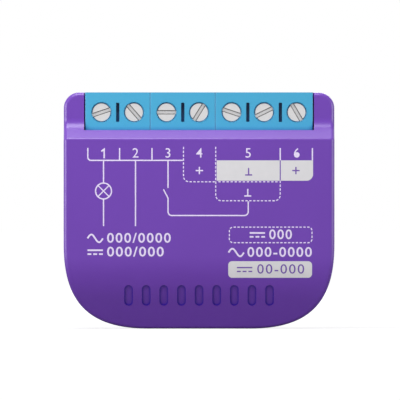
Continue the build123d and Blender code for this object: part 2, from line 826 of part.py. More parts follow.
def make_main_board():
    """The board, with slots and holes for the tails and pins that pass through it."""
    board = drawn_along_y(housing_outline(board_inset), board_front_y, board_back_y)
    low = board_front_y - overrun
    high = board_back_y + overrun
    for x in way_places():
        half = tail_width / 2 + seat_gap
        board -= span_box(x - half, x + half, low, high, bar_low_z - seat_gap,
                          bar_low_z + bar_thickness + seat_gap)
    coil, common, fixed = relay_pin_places()
    for x, z in coil:
        board -= rod_along_y(x, z, low, high, coil_pin_diameter + 2 * seat_gap)
    for (x, z), thickness in ((common, terminal_thickness), (fixed, fixed_plate_thickness)):
        half_x = thickness / 2 + seat_gap
        half_z = contact_pin_width / 2 + seat_gap
        board -= span_box(x - half_x, x + half_x, low, high, z - half_z, z + half_z)
    for x, z in lead_places():
        board -= rod_along_y(x, z, low, high, lead_diameter + 2 * seat_gap)
    return board


def lead_places():
    """The X and Z of each round lead of the power supply where it passes through the board."""
    bulk_x = bulk_left_x + bulk_length + bulk_lead_reach - lead_diameter / 2
    return (
        [(bulk_x, bulk_z + side * bulk_lead_spacing / 2) for side in (-1, 1)]
        + [(output_x + side * output_lead_spacing / 2, output_z) for side in (-1, 1)]
        + [(choke_x, choke_z + side * choke_lead_spacing / 2) for side in (-1, 1)]
        + [(varistor_x, varistor_z + side * varistor_lead_spacing / 2) for side in (-1, 1)]
        + [(resistor_x, resistor_z), (resistor_x + resistor_lead_spacing, resistor_z)])


def make_bulk_capacitor():
    """The lying electrolytic capacitor, with its crimped groove and its leads bent down."""
    y = board_front_y - bulk_diameter / 2
    right_x = bulk_left_x + bulk_length
    can = rod_along_x(y, bulk_z, bulk_left_x, right_x, bulk_diameter)
    can = chamfer(can.edges().filter_by(GeomType.CIRCLE), can_edge)
    groove_x = right_x - can_groove_from_end
    low_x, high_x = groove_x - can_groove_width / 2, groove_x + can_groove_width / 2
    groove = rod_along_x(y, bulk_z, low_x, high_x, bulk_diameter + can_groove_depth)
    can -= groove - rod_along_x(y, bulk_z, low_x, high_x, bulk_diameter - 2 * can_groove_depth)
    for x, z in lead_places()[0:2]:
        can += rod_along_x(y, z, right_x, x + lead_diameter / 2, lead_diameter)
        can += rod_along_y(x, z, y, board_back_y + pin_past_board, lead_diameter)
    return can


def make_upright_can(x, z, diameter, length, leads):
    """A round can that stands on the board, with its leads through the board."""
    can = rod_along_y(x, z, board_front_y - length, board_front_y, diameter)
    can = chamfer(can.faces().sort_by(Axis.Y)[0].edges(), can_edge)
    for lead_x, lead_z in leads:
        can += rod_along_y(lead_x, lead_z, board_front_y, board_back_y + pin_past_board, lead_diameter)
    return can


def make_varistor():
    """The disc varistor on edge, a little off the board on its two leads."""
    y = board_front_y - varistor_stand_off - varistor_diameter / 2
    half = varistor_thickness / 2
    disc = rod_along_x(y, varistor_z, varistor_x - half, varistor_x + half, varistor_diameter)
    disc = chamfer(disc.edges().filter_by(GeomType.CIRCLE), varistor_edge)
    for x, z in lead_places()[6:8]:
        disc += rod_along_y(x, z, y, board_back_y + pin_past_board, lead_diameter)
    return disc


def make_fusible_resistor():
    """The upright wire-wound resistor that also acts as a fuse, one lead bent back down beside it."""
    back_end = board_front_y - resistor_stand_off
    front_end = back_end - resistor_length
    body = rod_along_y(resistor_x, resistor_z, front_end, back_end, resistor_diameter)
    body = chamfer(body.edges().filter_by(GeomType.CIRCLE), resistor_edge)
    tail_end = board_back_y + pin_past_board
    bend_y = front_end - resistor_lead_rise
    body += rod_along_y(resistor_x, resistor_z, bend_y, tail_end, lead_diameter)
    body += rod_along_x(bend_y, resistor_z, resistor_x, resistor_x + resistor_lead_spacing, lead_diameter)
    body += rod_along_y(resistor_x + resistor_lead_spacing, resistor_z, bend_y, tail_end, lead_diameter)
    for x in (resistor_x, resistor_x + resistor_lead_spacing):
        body += Pos(x, bend_y, resistor_z) * Sphere(lead_diameter / 2)
    return body


def make_transformer_core():
    """Two E-shaped ferrite halves that meet in the middle of the coil."""
    y = board_front_y - transformer_rise / 2
    halves = []
    half_span = core_span / 2
    window_half = half_span - core_yoke
    leg_half = core_middle_leg / 2
    outer_half = half_span - core_outer_leg
    for side in (-1, 1):
        profile = Polyline(
            (-half_span, 0), (-half_span, side * half_span), (half_span, side * half_span),
            (half_span, 0), (outer_half, 0), (outer_half, side * window_half),
            (leg_half, side * window_half), (leg_half, 0), (-leg_half, 0), (-leg_half, side * window_half),
            (-outer_half, side * window_half), (-outer_half, 0), close=True)
        half = drawn_along_y(make_face(profile), y - core_depth / 2, y + core_depth / 2)
        halves.append(Pos(transformer_x, 0, transformer_z) * half)
    return Compound(children=halves)


def transformer_sleeve(low_z, high_z, wall, rise_half):
    """A box round the core's middle leg, from its wall in X and its half rise in Y."""
    y = board_front_y - transformer_rise / 2
    half = core_middle_leg / 2 + running_gap + wall
    return span_box(transformer_x - half, transformer_x + half, y - rise_half, y + rise_half, low_z, high_z)


def make_transformer_bobbin():
    """The coil former round the middle leg, whose two flanges stand on the board."""
    y = board_front_y - transformer_rise / 2
    reach = core_span / 2 - core_yoke - running_gap
    low_z = transformer_z - reach
    high_z = transformer_z + reach
    tube_rise = core_depth / 2 + running_gap + transformer_tube_wall
    bobbin = transformer_sleeve(low_z, high_z, transformer_tube_wall, tube_rise)
    flange_wall = core_span / 2 - core_outer_leg - core_middle_leg / 2 - 3 * running_gap
    for z in (low_z, high_z - transformer_flange):
        bobbin += transformer_sleeve(z, z + transformer_flange, flange_wall, transformer_rise / 2)
    bore = core_depth / 2 + running_gap
    half = core_middle_leg / 2 + running_gap
    return bobbin - span_box(transformer_x - half, transformer_x + half, y - bore, y + bore,
                             low_z - overrun, high_z + overrun)


def make_transformer_winding():
    """The taped winding between the flanges."""
    y = board_front_y - transformer_rise / 2
    reach = core_span / 2 - core_yoke - running_gap - transformer_flange
    flange_wall = core_span / 2 - core_outer_leg - core_middle_leg / 2 - 3 * running_gap
    low_z = transformer_z - reach
    high_z = transformer_z + reach
    winding = transformer_sleeve(low_z, high_z, flange_wall - tape_inset, transformer_rise / 2 - tape_inset)
    winding = fillet(winding.edges().filter_by(Axis.Z), winding_corner_radius)
    inner_rise = core_depth / 2 + 2 * running_gap + transformer_tube_wall
    inner = transformer_sleeve(low_z - overrun, high_z + overrun, transformer_tube_wall + running_gap,
                               inner_rise)
    return winding - inner


def make_flat_part(place, size, leads, along_x):
    """A moulded part on the board with flat leads at two of its sides."""
    (x, z), (width, height, rise) = place, size
    body = span_box(x - width / 2, x + width / 2, board_front_y - rise, board_front_y, z - height / 2,
                    z + height / 2)
    body = chamfer(body.faces().sort_by(Axis.Y)[0].edges(), body_taper)
    lead_y = board_front_y - rise * lead_rise_share
    span = height if along_x else width
    step = span / leads
    for side in (-1, 1):
        for index in range(leads):
            along = step * (index - (leads - 1) / 2)
            if along_x:
                low, high = sorted((x + side * width / 2, x + side * (width / 2 + lead_reach)))
                body += span_box(low, high, lead_y, board_front_y, z + along - lead_width / 2,
                                 z + along + lead_width / 2)
            else:
                low, high = sorted((z + side * height / 2, z + side * (height / 2 + lead_reach)))
                body += span_box(x + along - lead_width / 2, x + along + lead_width / 2, lead_y,
                                 board_front_y, low, high)
    return body


def chip_places():
    """The X and Z of each chip part: a grid in the corner, then a column beside the regulator."""
    left_x = optocoupler_x + optocoupler_size[0] / 2 + lead_reach + chips_from_optocoupler + chip_width / 2
    low_z = board_inset + chips_above_edge + chip_height / 2
    step_x = chip_width + chip_gap_x
    step_z = chip_height + chip_gap_z
    grid = [(left_x + column * step_x, low_z + row * step_z)
            for column in range(low_chip_column_count) for row in range(low_chip_row_count)]
    side_x = regulator_x - regulator_size[0] / 2 - chip_gap_x - chip_width / 2
    top_z = relay_low - chip_gap_z - chip_height / 2
    side = [(side_x, top_z - row * step_z) for row in range(side_chip_row_count)]
    return grid, side


def make_chip_parts(places, rise):
    """A group of small chip parts, one block for each place."""
    return Compound(children=[
        span_box(x - chip_width / 2, x + chip_width / 2, board_front_y - rise, board_front_y,
                 z - chip_height / 2, z + chip_height / 2) for x, z in places])


def make_radio_board():
    """The radio module's board."""
    return span_box(radio_left_x, radio_right_x, radio_face_y, board_front_y, radio_low_z, radio_high_z)


def make_radio_can():
    """The pressed shield can over the radio chip and its crystal."""
    top_y = radio_face_y - can_rise
    can = span_box(can_left_x, can_right_x, top_y, radio_face_y, can_low_z, can_high_z)
    can = fillet(can.edges().filter_by(Axis.Y), can_corner_radius)
    return can - span_box(can_left_x + can_wall, can_right_x - can_wall, top_y + can_wall,
                          radio_face_y + overrun, can_low_z + can_wall, can_high_z - can_wall)


def make_radio_chip():
    """The radio chip under the can."""
    low_x = can_left_x + can_wall + can_room
    return span_box(low_x, low_x + chip_side, radio_face_y - chip_rise, radio_face_y,
                    radio_z - chip_side / 2, radio_z + chip_side / 2)


def make_radio_crystal():
    """The crystal beside the radio chip."""
    high_x = can_right_x - can_wall - can_room
    return span_box(high_x - crystal_width, high_x, radio_face_y - crystal_rise, radio_face_y,
                    radio_z - crystal_height / 2, radio_z + crystal_height / 2)


def make_antenna():
    """The antenna trace that zigzags over the free end of the radio board."""
    low_x = radio_left_x + antenna_margin
    low_z = radio_low_z + antenna_margin
    high_z = radio_high_z - antenna_margin
    step = (can_left_x - antenna_margin - low_x) / antenna_leg_count
    width = step * antenna_trace_share
    trace = None
    for index in range(antenna_leg_count):
        x = low_x + index * step
        leg = span_box(x, x + width, radio_face_y - antenna_rise, radio_face_y, low_z, high_z)
        trace = leg if trace is None else trace + leg
        if index + 1 < antenna_leg_count:
            end_z = high_z - width if index % 2 else low_z
            trace += span_box(x, x + step, radio_face_y - antenna_rise, radio_face_y, end_z, end_z + width)
    return trace


# The button's flange lies under the cover, and its stem ends below the cover's face
flange_back_y = seat_y - seat_gap
flange_front_y = flange_back_y - button_flange_thickness
switch_back_y = board_back_y + switch_rise
plunger_back_y = flange_front_y - running_gap


def make_button():
    """The round button with its flange behind the cover and a dished face."""
    cap_y = back_y - button_sink
    button = rod_along_y(button_x, button_z, flange_front_y, flange_back_y,
                         button_diameter + 2 * button_flange)
    button += rod_along_y(button_x, button_z, flange_back_y, cap_y, button_diameter)
    dish_y = cap_y + button_dish_radius - button_dish_depth
    ball = Pos(button_x, dish_y, button_z) * Sphere(button_dish_radius)
    return button - ball


def make_switch_body():
    """The low square push switch on the back of the board."""
    half = switch_side / 2
    body = span_box(button_x - half, button_x + half, board_back_y, switch_back_y, button_z - half,
                    button_z + half)
    well_y = switch_back_y - plunger_in_switch - button_travel - running_gap
    return body - rod_along_y(button_x, button_z, well_y, switch_back_y + overrun,
                              plunger_diameter + 2 * running_gap)


def make_switch_plunger():
    """The plunger that the button presses into the switch."""
    plunger_front_y = switch_back_y - plunger_in_switch
    return rod_along_y(button_x, button_z, plunger_front_y, plunger_back_y, plunger_diameter)


def make_status_lamp():
    """The small status lamp on the back of the board."""
    width, height = lamp_size
    return span_box(lamp_x - width / 2, lamp_x + width / 2, board_back_y, board_back_y + lamp_rise,
                    button_z - height / 2, button_z + height / 2)


def make_light_pipe():
    """The clear rod that leads the lamp's light out through the cover."""
    flange_y = seat_y - pipe_flange_thickness
    pipe = rod_along_y(lamp_x, button_z, flange_y, seat_y, pipe_diameter + 2 * pipe_flange)
    return pipe + rod_along_y(lamp_x, button_z, seat_y, back_y - pipe_sink, pipe_diameter)


def make_parts():
    """Every piece of the module, by the name of its file."""
    ways = list(enumerate(way_places(), start=1))
    parts = {"front_shell": make_front_shell(), "rear_cover": make_rear_cover()}
    first = 0
    for name, count in zip(("left", "middle", "right"), ways_in_housing):
        parts[f"terminal_housing_{name}"] = make_terminal_housing(first, count)
        first += count
    for (number, x), angle in zip(ways, slot_angles):
        parts[f"terminal_screw_{number}"] = make_terminal_screw(x, angle)
    for number, x in ways:
        parts[f"clamp_cage_{number}"] = make_clamp_cage(x)
    parts["contact_bars"] = Compound(children=[make_contact_bar(x) for number, x in ways])
    parts["main_board"] = make_main_board()
    parts["relay_case"] = make_relay_case()
    parts["relay_base"] = make_relay_base()
    parts["relay_bobbin"] = make_relay_bobbin()
    parts["relay_winding"] = make_relay_winding()
    parts["relay_core"] = make_relay_core()
    parts["relay_yoke"] = make_relay_yoke()
    parts["relay_armature"] = make_relay_armature()
    parts["relay_pusher_card"] = make_relay_card()
    parts["relay_moving_blade"] = make_relay_blade()
    parts["relay_common_terminal"] = make_common_terminal()
    parts["relay_fixed_contact"] = make_fixed_contact()
    parts["relay_coil_pins"] = make_coil_pins()
    parts["transformer_core"] = make_transformer_core()
    parts["transformer_bobbin"] = make_transformer_bobbin()
    parts["transformer_winding"] = make_transformer_winding()
    parts["bulk_capacitor"] = make_bulk_capacitor()
    parts["output_capacitor"] = make_upright_can(
        output_x, output_z, output_diameter, output_length, lead_places()[2:4])
    parts["input_choke"] = make_upright_can(
        choke_x, choke_z, choke_diameter, choke_length, lead_places()[4:6])
    parts["varistor"] = make_varistor()
    parts["fusible_resistor"] = make_fusible_resistor()
    parts["bridge_rectifier"] = make_flat_part(bridge_place, bridge_size, bridge_lead_count, True)
    parts["converter_chip"] = make_flat_part(converter_place, converter_size, converter_lead_count, False)
    parts["optocoupler"] = make_flat_part(optocoupler_place, optocoupler_size, optocoupler_lead_count, True)
    parts["voltage_regulator"] = make_flat_part(regulator_place, regulator_size, regulator_lead_count, False)
    grid, side = chip_places()
    resistors = grid[:low_resistor_count] + side[:side_resistor_count]
    capacitors = grid[low_resistor_count:] + side[side_resistor_count:]
    parts["chip_resistors"] = make_chip_parts(resistors, chip_rise_resistor)
    parts["chip_capacitors"] = make_chip_parts(capacitors, chip_rise_capacitor)
    parts["radio_board"] = make_radio_board()
    parts["radio_shield_can"] = make_radio_can()
    parts["radio_chip"] = make_radio_chip()
    parts["radio_crystal"] = make_radio_crystal()
    parts["radio_antenna"] = make_antenna()
    parts["button_cap"] = make_button()
    parts["button_switch"] = make_switch_body()
    parts["switch_plunger"] = make_switch_plunger()
    parts["status_lamp"] = make_status_lamp()
    parts["light_pipe"] = make_light_pipe()
    return parts


os.makedirs("parts", exist_ok=True)
for name, shape in make_parts().items():
    export_step(shape, f"parts/{name}.step")
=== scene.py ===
import json
import math
import bmesh
import bpy
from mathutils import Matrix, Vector, geometry


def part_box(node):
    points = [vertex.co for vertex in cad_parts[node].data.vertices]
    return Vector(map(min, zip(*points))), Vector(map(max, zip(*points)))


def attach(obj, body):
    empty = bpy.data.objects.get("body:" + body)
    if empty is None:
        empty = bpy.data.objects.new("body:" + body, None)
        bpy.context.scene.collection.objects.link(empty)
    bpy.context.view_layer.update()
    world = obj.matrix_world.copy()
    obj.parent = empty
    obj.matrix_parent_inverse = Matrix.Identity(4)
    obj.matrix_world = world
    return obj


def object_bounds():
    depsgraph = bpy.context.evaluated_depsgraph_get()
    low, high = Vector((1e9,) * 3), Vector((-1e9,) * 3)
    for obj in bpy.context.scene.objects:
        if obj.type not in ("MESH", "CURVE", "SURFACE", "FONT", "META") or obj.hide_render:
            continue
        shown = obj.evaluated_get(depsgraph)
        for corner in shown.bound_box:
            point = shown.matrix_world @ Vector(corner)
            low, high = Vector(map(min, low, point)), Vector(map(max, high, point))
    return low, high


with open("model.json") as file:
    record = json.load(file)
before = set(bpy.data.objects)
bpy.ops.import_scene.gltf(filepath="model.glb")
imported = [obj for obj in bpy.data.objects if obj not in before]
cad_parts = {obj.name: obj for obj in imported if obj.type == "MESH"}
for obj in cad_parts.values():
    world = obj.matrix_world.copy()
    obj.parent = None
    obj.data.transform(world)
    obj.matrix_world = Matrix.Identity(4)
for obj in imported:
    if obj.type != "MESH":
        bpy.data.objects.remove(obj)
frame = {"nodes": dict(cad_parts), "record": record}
cad_low, cad_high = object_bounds()

# Lengths are drawn in millimetres and set in metres
MM = 0.001

# The moulded front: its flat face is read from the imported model, and it bends back towards the foot
FACE_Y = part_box("front_shell")[0][1] / MM
BEND_RADIUS = 19.0
BEND_TILT = math.radians(20.0)
BEND_Z = 7.7
BEND_START_Z = BEND_Z + BEND_RADIUS * math.tan(BEND_TILT / 2)

# The print: its lines' width, the thickness of its films and of the marks that lie over a filled field, and
# the height of the strips in which a film follows the bend
LINE_WIDTH = 0.2
INK_RISE = 0.012
MARK_RISE = 0.02
BEND_STRIP = 0.5
# A digit is this share of its type size high
DIGIT_SHARE = 0.7

# The colour sockets of a Mix node go by number, because their names repeat those of its other kinds
MIX_SHARE, MIX_FIRST, MIX_SECOND, MIX_RESULT = 0, 6, 7, 2


def linear(colour):
    """An sRGB hex colour as the linear colour that a shader takes."""
    parts = [int(colour[place:place + 2], 16) / 255 for place in (1, 3, 5)]
    return tuple(c / 12.92 if c <= 0.04045 else ((c + 0.055) / 1.055) ** 2.4 for c in parts) + (1.0,)


WHITE = linear("#FFFFFF")


def add_node(tree, kind, values=(), links=(), **settings):
    """Adds a node with its settings, its socket values and its links."""
    node = tree.nodes.new(kind)
    for name, value in settings.items():
        setattr(node, name, value)
    for socket, value in values:
        node.inputs[socket].default_value = value
    for socket, source in links:
        tree.links.new(source, node.inputs[socket])
    return node


def new_material(name):
    """An empty node material, its tree, and the object coordinates that its patterns read."""
    material = bpy.data.materials.new(name)
    material.use_nodes = True
    tree = material.node_tree
    tree.nodes.clear()
    place = add_node(tree, "ShaderNodeTexCoord").outputs["Object"]
    return material, tree, place


def noise(tree, place, grain_mm, detail):
    """A soft random pattern whose grains have a real size."""
    return add_node(tree, "ShaderNodeTexNoise", [("Scale", 1 / (grain_mm * MM)), ("Detail", detail)],
                    [("Vector", place)]).outputs["Fac"]


def combined(tree, first, second, operation):
    """Two values joined by one operation."""
    return add_node(tree, "ShaderNodeMath", links=[(0, first), (1, second)], operation=operation).outputs[0]


def patchy_colour(tree, place, dark, light, patch_mm):
    """A colour that drifts softly between two close tones over patches of a real size."""
    patches = noise(tree, place, patch_mm, detail=3.0)
    return add_node(tree, "ShaderNodeMix", [(MIX_FIRST, linear(dark)), (MIX_SECOND, linear(light))],
                    [(MIX_SHARE, patches)], data_type="RGBA").outputs[MIX_RESULT]


def painted_corner_shade(tree, colour, dark, reach_mm, shut, open_to, own_walls=False):
    """A colour painted dark where nearby walls, or the piece's own alone, close a place in: painted shade
    from an occlusion mask.
    """
    shade = add_node(tree, "ShaderNodeAmbientOcclusion", [("Distance", reach_mm * MM)], samples=12,
                     only_local=own_walls)
    share = add_node(tree, "ShaderNodeMapRange", [("From Min", shut), ("From Max", open_to)],
                     [("Value", shade.outputs["AO"])])
    return add_node(tree, "ShaderNodeMix", [(MIX_FIRST, linear(dark))],
                    [(MIX_SHARE, share.outputs[0]), (MIX_SECOND, colour)],
                    data_type="RGBA").outputs[MIX_RESULT]


def finish_surface(tree, colour, height, depth_mm, rough_low, rough_high, metallic=0.0):
    """Joins a colour and a height pattern to the shader, the height also varying the roughness."""
    bump = add_node(tree, "ShaderNodeBump", [("Distance", depth_mm * MM)], [("Height", height)])
    rough = add_node(tree, "ShaderNodeMapRange", [("To Min", rough_low), ("To Max", rough_high)],
                     [("Value", height)])
    shader = add_node(tree, "ShaderNodeBsdfPrincipled", [("Metallic", metallic)],
                      [("Base Color", colour), ("Roughness", rough.outputs[0]), ("Normal", bump.outputs[0])])
    add_node(tree, "ShaderNodeOutputMaterial", links=[("Surface", shader.outputs[0])])


def moulded_plastic(name, dark, light, grain_mm, depth_mm, rough_low, rough_high, corners=None):
    """Moulded plastic: the spark-eroded grain of its mould, and tones that drift with the melt's flow."""
    material, tree, place = new_material(name)
    colour = patchy_colour(tree, place, dark, light, patch_mm=9.0)
    # A corners' group paints shade into the colour where walls close a place in
    if corners:
        colour = painted_corner_shade(tree, colour, *corners)
    grain = noise(tree, place, grain_mm, detail=2.0)
    finish_surface(tree, colour, grain, depth_mm, rough_low, rough_high)
    return material


def plated_metal(name, dark, light, line_mm, depth_mm, rough_low, rough_high, along=(1.0, 1.0, 1.0),
                 corners=None):
    """Plated or rolled metal: fine marks drawn out along one way, over the plating's faint blotches."""
    material, tree, place = new_material(name)
    colour = patchy_colour(tree, place, dark, light, patch_mm=1.6)
    # A corners' group paints shade into the colour where walls close a place in
    if corners:
        colour = painted_corner_shade(tree, colour, *corners)
    drawn = add_node(tree, "ShaderNodeMapping", [("Scale", along)], [("Vector", place)])
    lines = noise(tree, drawn.outputs[0], line_mm, detail=3.0)
    finish_surface(tree, colour, lines, depth_mm, rough_low, rough_high, metallic=1.0)
    return material


def wound_turns(name, dark, light, wire_mm, metallic):
    """Wire or tape laid turn beside turn: rounded bands one width apart along the upright axis."""
    material, tree, place = new_material(name)
    colour = patchy_colour(tree, place, dark, light, patch_mm=2.0)
    # Blender's bands repeat every 2 pi / 20 of the scaled coordinate
    scale = 2 * math.pi / 20 / (wire_mm * MM)
    turns = add_node(tree, "ShaderNodeTexWave", [("Scale", scale), ("Distortion", 0.3)], [("Vector", place)],
                     bands_direction="Z")
    finish_surface(tree, colour, turns.outputs["Fac"], depth_mm=wire_mm / 2, rough_low=0.3, rough_high=0.45,
                   metallic=metallic)
    return material


def printed_ink(name, dark, light):
    """Pad-printed ink: a thin film that is a little rough where the pad lifted."""
    material, tree, place = new_material(name)
    colour = patchy_colour(tree, place, dark, light, patch_mm=1.2)
    lift = noise(tree, place, grain_mm=0.25, detail=2.0)
    finish_surface(tree, colour, lift, depth_mm=0.002, rough_low=0.5, rough_high=0.62)
    return material


def clear_polycarbonate(name):
    """Clear moulded polycarbonate, with the faint ripple of a polished mould."""
    material, tree, place = new_material(name)
    ripple = noise(tree, place, grain_mm=0.8, detail=1.0)
    bump = add_node(tree, "ShaderNodeBump", [("Distance", 0.004 * MM)], [("Height", ripple)])
    shader = add_node(tree, "ShaderNodeBsdfPrincipled",
                      [("Base Color", linear("#EDF2F4")), ("Roughness", 0.12), ("IOR", 1.585),
                       ("Transmission Weight", 0.85)], [("Normal", bump.outputs[0])])
    add_node(tree, "ShaderNodeOutputMaterial", links=[("Surface", shader.outputs[0])])
    return material


# One finish for each slot of the record. After the two tones come the size and depth of its grain in
# millimetres, then its least and greatest roughness. A metal also has the stretch of its marks.
# The corners' group paints shade into hollows: the tone of the painted shade, its reach in millimetres, the
# open shares where it is full and where it is gone, and whether only the piece's own walls count.
finishes = {
    # Violet polycarbonate blend from an eroded mould: satin, with soft broad highlights on its edges, and
    # painted shade in its grooves and hollows
    "shell_plastic": moulded_plastic(
        "moulded violet polycarbonate", "#6537A3", "#693AA9", 0.22, 0.003, 0.27, 0.33,
        corners=("#3C12A4", 0.9, 0.6, 1.0, True)),
    # Blue polyamide: a broader grain than the shell's, and a little duller, with painted shade in its holes,
    # slots and joints
    "terminal_plastic": moulded_plastic(
        "moulded blue polyamide", "#3F9EC5", "#43A3CA", 0.3, 0.003, 0.34, 0.42,
        corners=("#0A4F95", 1.0, 0.2, 0.85)),
    # Nickel-plated steel, turned on its face: pale, with soft reflections, and painted shade in the slot's
    # corners
    "screw_steel": plated_metal(
        "nickel-plated turned steel", "#CFCECF", "#D7D6D6", 0.12, 0.002, 0.3, 0.42,
        corners=("#141216", 0.3, 0.6, 0.85, True)),
    "cage_steel": plated_metal(
        "zinc-plated pressed steel", "#C3C4C6", "#CFCFCF", 0.2, 0.003, 0.34, 0.46, (0.3, 1.0, 1.0)),
    "bar_brass": plated_metal(
        "tin-plated brass strip", "#CFC9B4", "#D8D2C0", 0.2, 0.003, 0.3, 0.42, (1.0, 1.0, 0.2)),
    # Green solder mask over glass cloth, whose weave shows through as a fine even texture
    "board_laminate": moulded_plastic(
        "solder mask on glass laminate", "#14502C", "#195A33", 0.5, 0.004, 0.22, 0.3),
    "relay_plastic": moulded_plastic(
        "moulded black polyester", "#131315", "#1A1A1C", 0.25, 0.005, 0.42, 0.52),
    "bobbin_plastic": moulded_plastic(
        "moulded natural polyester", "#D8D3C6", "#DFDACE", 0.25, 0.004, 0.42, 0.5),
    "magnet_iron": plated_metal(
        "nickel-plated soft iron", "#A5A4A2", "#B2B1AF", 0.25, 0.003, 0.36, 0.48, (1.0, 0.3, 1.0)),
    # Enamelled copper wire of 0.16 mm, wound in even layers
    "copper_wire": wound_turns("enamelled copper winding", "#A55A2C", "#B4683A", wire_mm=0.16, metallic=1.0),
    "contact_alloy": plated_metal(
        "copper alloy spring strip", "#C48A5C", "#CE9668", 0.2, 0.002, 0.28, 0.38, (1.0, 1.0, 0.2)),
    # Sintered ferrite: dull, near black, with a fine pressed grit
    "ferrite": moulded_plastic("sintered ferrite", "#26272A", "#303134", 0.18, 0.012, 0.62, 0.78),
    # Polyester tape wound edge over edge
    "winding_tape": wound_turns("wound polyester tape", "#D9B84A", "#E0C259", wire_mm=1.9, metallic=0.0),
    "can_aluminium": moulded_plastic(
        "shrunk sleeve on an aluminium can", "#2A2C34", "#32343D", 0.4, 0.003, 0.3, 0.38),
    "varistor_lacquer": moulded_plastic("dipped blue epoxy", "#1B55A3", "#2360AE", 0.7, 0.03, 0.3, 0.42),
    "resistor_lacquer": moulded_plastic("cement lacquer", "#779F83", "#82A98E", 0.3, 0.02, 0.55, 0.7),
    "chip_plastic": moulded_plastic("moulded black epoxy", "#151515", "#1D1D1E", 0.12, 0.006, 0.5, 0.62),
    "chip_ceramic": moulded_plastic(
        "sintered barium titanate", "#9A8262", "#A68E6D", 0.15, 0.006, 0.5, 0.62),
    "shield_steel": plated_metal(
        "tinned steel sheet", "#C6C7C9", "#D1D1D2", 0.3, 0.003, 0.26, 0.38, (0.2, 1.0, 1.0)),
    "button_plastic": moulded_plastic("moulded black acetal", "#18181A", "#202023", 0.2, 0.004, 0.4, 0.5),
    "clear_plastic": clear_polycarbonate("clear moulded polycarbonate"),
    "lamp_epoxy": moulded_plastic("milky lamp epoxy", "#E6E3CC", "#EEEBD6", 0.2, 0.002, 0.2, 0.28),
}
white_ink = printed_ink("white pad-printed ink", "#D1D0D3", "#D8D6D9")
# A narrow line takes less ink, and the violet shows through it a little
thin_ink = printed_ink("thin white pad-printed ink", "#DCD0EE", "#E2D7F1")
violet_ink = printed_ink("bare violet under the print", "#663F9B", "#6C45A3")

# The aerial is copper as the coil is, but etched flat and without the coil's turns
etched_copper = plated_metal("etched copper trace", "#B4683A", "#BF7344", 0.2, 0.002, 0.28, 0.38)

for part in frame["record"]["subparts"]:
    node_object = frame["nodes"][part["node"]]
    finish = etched_copper if part["node"] == "radio_antenna" else finishes[part["material_slot"]]
    for material_slot in node_object.material_slots:
        material_slot.material = finish


def skin_y(z):
    """The Y of the moulded front at a height: flat, then bent back, then straight to the foot."""
    drop = BEND_START_Z - z
    if drop <= 0:
        return FACE_Y
    bend_drop = BEND_RADIUS * math.sin(BEND_TILT)
    if drop < bend_drop:
        return FACE_Y + BEND_RADIUS - math.sqrt(BEND_RADIUS ** 2 - drop ** 2)
    return FACE_Y + BEND_RADIUS * (1 - math.cos(BEND_TILT)) + (drop - bend_drop) * math.tan(BEND_TILT)


def rounded_path(points, radius, closed=False, steps=8):
    """A path in X and Z whose corners are rounded, as short straight runs."""
    count = len(points)
    path = []
    for index, point in enumerate(points):
        corner = Vector(point)
        if not closed and index in (0, count - 1):
            path.append(corner)
            continue
        before = (Vector(points[index - 1]) - corner).normalized()
        after = (Vector(points[(index + 1) % count]) - corner).normalized()
        turn = math.acos(max(-1.0, min(1.0, before.dot(after))))
        back = radius / math.tan(turn / 2)
        middle = corner + (before + after).normalized() * (radius / math.sin(turn / 2))
        start, end = corner + before * back, corner + after * back
        for step in range(steps + 1):
            spot = start.lerp(end, step / steps)
            path.append(middle + (spot - middle).normalized() * radius)
    return path


def stroke(bm, path, width=LINE_WIDTH, closed=False, least_lean=0.5):
    """Adds a flat line of a width along a path in X and Z to a mesh, with a mitre that stays short."""
    count = len(path)
    path = [Vector(point) for point in path]
    sides = []
    for index, point in enumerate(path):
        last = path[index - 1] if closed or index > 0 else None
        following = path[(index + 1) % count] if closed or index + 1 < count else None
        ahead = (following - point).normalized() if following is not None else None
        behind = (point - last).normalized() if last is not None else None
        way = (ahead or behind) if ahead is None or behind is None else (ahead + behind).normalized()
        lean = way.dot(ahead if ahead is not None else behind)
        across = Vector((-way.y, way.x)) * (width / 2 / max(lean, least_lean))
        sides.append((bm.verts.new((point.x + across.x, 0, point.y + across.y)),
                      bm.verts.new((point.x - across.x, 0, point.y - across.y))))
    for index in range(count if closed else count - 1):
        (a, b), (c, d) = sides[index], sides[(index + 1) % count]
        bm.faces.new((a, b, d, c))


def patch(bm, outline):
    """Adds a filled patch with an outline in X and Z to a mesh."""
    bm.faces.new([bm.verts.new((point[0], 0, point[1])) for point in outline])


def box_corners(x_low, x_high, z_low, z_high):
    """The four corners of an upright box in X and Z."""
    return [(x_low, z_low), (x_high, z_low), (x_high, z_high), (x_low, z_high)]


def ring(bm, x, z, radius, steps=40):
    """Adds a round line to a mesh."""
    path = [(x + radius * math.cos(math.tau * step / steps), z + radius * math.sin(math.tau * step / steps))
            for step in range(steps)]
    stroke(bm, path, closed=True)


